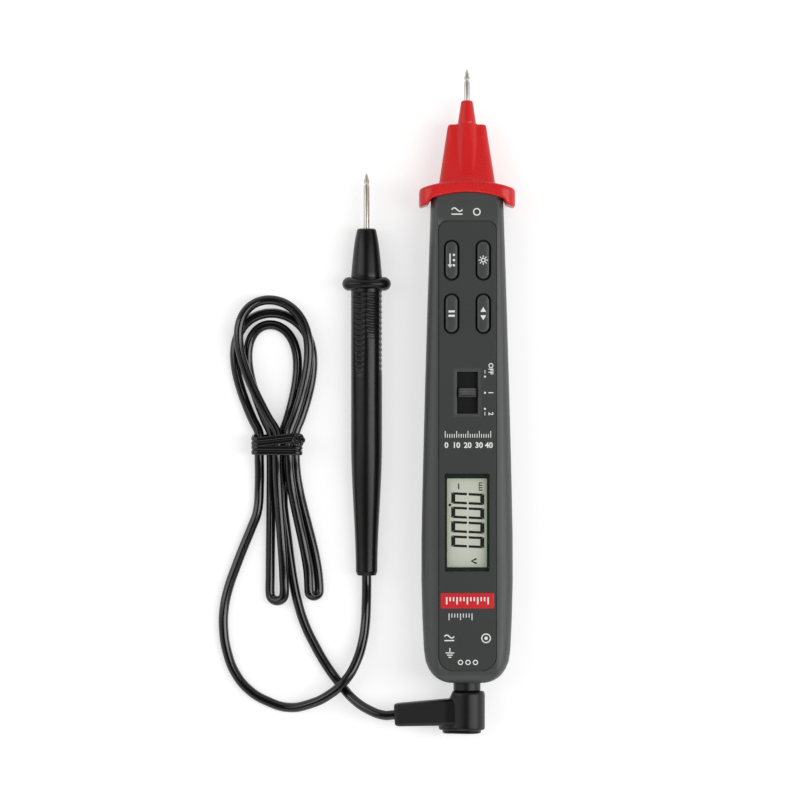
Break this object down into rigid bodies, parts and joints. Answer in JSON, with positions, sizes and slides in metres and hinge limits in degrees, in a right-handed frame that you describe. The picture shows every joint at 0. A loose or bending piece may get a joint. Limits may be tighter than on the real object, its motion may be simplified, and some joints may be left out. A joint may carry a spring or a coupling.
{
  "type": "pen multimeter",
  "caption": "Pen-shaped digital multimeter with a built-in needle, keys, mode slider, display and a pull-out test lead with its probe.",
  "frame": {"origin": "middle of the meter's flat back face", "axes": "+Z out of the meter's face, +Y from the jack end towards the needle, +X to the right of the face"},
  "size_m": [0.104, 0.2325, 0.0228],
  "materials": {
    "housing_plastic": "moulded dark grey plastic, fine texture",
    "face_foil": "printed dark grey face foil",
    "name_foil": "plain red plate",
    "red_plastic": "glossy red moulding",
    "key_rubber": "soft dark grey keys",
    "slider_plastic": "dark slider",
    "shutter_black": "black shutter",
    "window_plastic": "clear display window",
    "lcd_glass": "liquid crystal glass",
    "white_plastic": "white plastic",
    "zebra_rubber": "zebra strips",
    "board": "green circuit board",
    "switch_plastic": "switch bodies",
    "chip_black": "chip",
    "brass": "turned brass",
    "nickel": "nickel plated",
    "steel": "zinc plated steel",
    "cell_foil": "cell jackets",
    "lead_plastic": "black lead mouldings",
    "cord_vinyl": "black soft cord",
    "tie_black": "plastic covered wire tie"
  },
  "bodies": {
    "meter": {"front_shell": "housing_plastic", "rear_shell": "housing_plastic", "face_plate": "face_foil", "name_plate": "name_foil", "nose_guard": "red_plastic", "needle_socket": "brass", "meter_needle": "nickel", "needle_strip": "brass", "display_window": "window_plastic", "display_glass": "lcd_glass", "display_frame": "white_plastic", "display_backlight": "white_plastic", "display_connectors": "zebra_rubber", "circuit_board": "board", "tact_switches": "switch_plastic", "slide_switch": "switch_plastic", "processor_chip": "chip_black", "buzzer": "brass", "jack_bush": "housing_plastic", "jack_contact": "brass", "battery_cells": "cell_foil", "battery_springs": "steel", "battery_plates": "steel", "case_screws": "steel", "door_insert": "brass"},
    "select_key_body": {"select_key": "key_rubber"},
    "light_key_body": {"light_key": "key_rubber"},
    "hold_key_body": {"hold_key": "key_rubber"},
    "range_key_body": {"range_key": "key_rubber"},
    "mode_slider": {"slider_knob": "slider_plastic", "slider_shutter": "shutter_black"},
    "battery_cover": {"battery_door": "housing_plastic", "door_screw": "steel"},
    "test_lead": {"plug_boot": "lead_plastic", "plug_cap": "lead_plastic", "plug_shroud": "lead_plastic", "plug_pin": "nickel", "plug_cord": "cord_vinyl", "cord_hank": "cord_vinyl", "hank_tie": "tie_black", "probe_cord": "cord_vinyl", "probe_handle": "lead_plastic", "probe_nose": "lead_plastic", "probe_needle": "nickel"}
  },
  "joints": [
    {"name": "select_key_press", "type": "slide", "parent": "meter", "child": "select_key_body", "axis": [0, 0, -1], "range_m": [0, 0.0007], "stiffness_N_per_m": 2000},
    {"name": "light_key_press", "type": "slide", "parent": "meter", "child": "light_key_body", "axis": [0, 0, -1], "range_m": [0, 0.0007], "stiffness_N_per_m": 2000},
    {"name": "hold_key_press", "type": "slide", "parent": "meter", "child": "hold_key_body", "axis": [0, 0, -1], "range_m": [0, 0.0007], "stiffness_N_per_m": 2000},
    {"name": "range_key_press", "type": "slide", "parent": "meter", "child": "range_key_body", "axis": [0, 0, -1], "range_m": [0, 0.0007], "stiffness_N_per_m": 2000},
    {"name": "mode_slide", "type": "slide", "parent": "meter", "child": "mode_slider", "axis": [0, 1, 0], "range_m": [-0.0056, 0.0056]},
    {"name": "battery_door_swing", "type": "hinge", "parent": "meter", "child": "battery_cover", "pos_m": [0, -0.05775, 0.00085], "axis": [-1, 0, 0], "range_deg": [0, 40]},
    {"name": "lead_unplug", "type": "slide", "parent": "meter", "child": "test_lead", "axis": [0, -1, 0], "range_m": [0, 0.022]}
  ]
}
